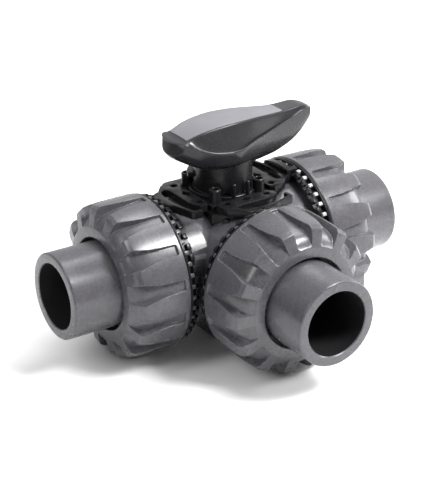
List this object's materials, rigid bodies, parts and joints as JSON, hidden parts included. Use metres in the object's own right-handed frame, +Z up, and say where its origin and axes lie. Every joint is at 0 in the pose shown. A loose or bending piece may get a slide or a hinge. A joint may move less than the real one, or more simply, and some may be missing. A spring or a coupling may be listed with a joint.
{
  "type": "three-way ball valve",
  "caption": "Three-way ball valve body with true-union spigot ends, lever handle, ratcheted union nuts and a drilled lock plate.",
  "frame": {"origin": "centre of the base pad's lower face, on the stem axis", "axes": "+Z up the stem, X along the straight run with the handle's long end towards +X, -Y out of the branch port"},
  "size_m": [0.2226, 0.1566, 0.1293],
  "materials": {
    "grey_pvc": "satin moulded dark grey rigid PVC",
    "black_acetal": "fine-grained black moulded acetal",
    "charcoal_nylon": "semi-gloss charcoal moulded nylon",
    "white_ptfe": "smooth white fluoropolymer",
    "black_rubber": "matte black elastomer",
    "brass": "turned brass"
  },
  "bodies": {
    "root": {"valve_body": "grey_pvc", "mounting_saddle": "black_acetal", "base_insert_left": "brass", "base_insert_right": "brass", "back_seat": "white_ptfe", "stem_washer": "white_ptfe", "left_ball_seat": "white_ptfe", "left_seat_carrier": "grey_pvc", "left_carrier_oring": "black_rubber", "left_face_oring": "black_rubber", "left_nut_lock": "black_acetal", "right_ball_seat": "white_ptfe", "right_seat_carrier": "grey_pvc", "right_carrier_oring": "black_rubber", "right_face_oring": "black_rubber", "right_nut_lock": "black_acetal", "front_ball_seat": "white_ptfe", "front_seat_carrier": "grey_pvc", "front_carrier_oring": "black_rubber", "front_face_oring": "black_rubber", "front_nut_lock": "black_acetal"},
    "handle": {"handle": "charcoal_nylon", "stem": "grey_pvc", "stem_oring_lower": "black_rubber", "stem_oring_upper": "black_rubber", "ball": "white_ptfe"},
    "insert": {"handle_insert": "charcoal_nylon"},
    "left_connector": {"left_end_connector": "grey_pvc"},
    "left_nut": {"left_union_nut": "grey_pvc", "left_ratchet_ring": "black_acetal"},
    "right_connector": {"right_end_connector": "grey_pvc"},
    "right_nut": {"right_union_nut": "grey_pvc", "right_ratchet_ring": "black_acetal"},
    "front_connector": {"front_end_connector": "grey_pvc"},
    "front_nut": {"front_union_nut": "grey_pvc", "front_ratchet_ring": "black_acetal"}
  },
  "joints": [
    {"name": "handle_turn", "type": "hinge", "parent": "root", "child": "handle", "pos_m": [0, 0, 0.096], "axis": [0, 0, 1], "range_deg": [-90, 90]},
    {"name": "insert_lift", "type": "slide", "parent": "handle", "child": "insert", "axis": [0, 0, 1], "range_m": [0, 0.025]},
    {"name": "left_connector_slide", "type": "slide", "parent": "root", "child": "left_connector", "axis": [-1, 0, 0], "range_m": [0, 0.0181]},
    {"name": "left_nut_turn", "type": "hinge", "parent": "left_connector", "child": "left_nut", "pos_m": [-0.0665, 0, 0.046], "axis": [-1, 0, 0], "range_deg": [0, 1080]},
    {"name": "right_connector_slide", "type": "slide", "parent": "root", "child": "right_connector", "axis": [1, 0, 0], "range_m": [0, 0.0181]},
    {"name": "right_nut_turn", "type": "hinge", "parent": "right_connector", "child": "right_nut", "pos_m": [0.0665, 0, 0.046], "axis": [1, 0, 0], "range_deg": [0, 1080]},
    {"name": "front_connector_slide", "type": "slide", "parent": "root", "child": "front_connector", "axis": [0, -1, 0], "range_m": [0, 0.0181]},
    {"name": "front_nut_turn", "type": "hinge", "parent": "front_connector", "child": "front_nut", "pos_m": [0, -0.0665, 0.046], "axis": [0, -1, 0], "range_deg": [0, 1080]}
  ],
  "couplings": [
    {"joint": "left_connector_slide", "follows": "left_nut_turn", "m_per_rad": 0.00095493},
    {"joint": "right_connector_slide", "follows": "right_nut_turn", "m_per_rad": 0.00095493},
    {"joint": "front_connector_slide", "follows": "front_nut_turn", "m_per_rad": 0.00095493}
  ]
}
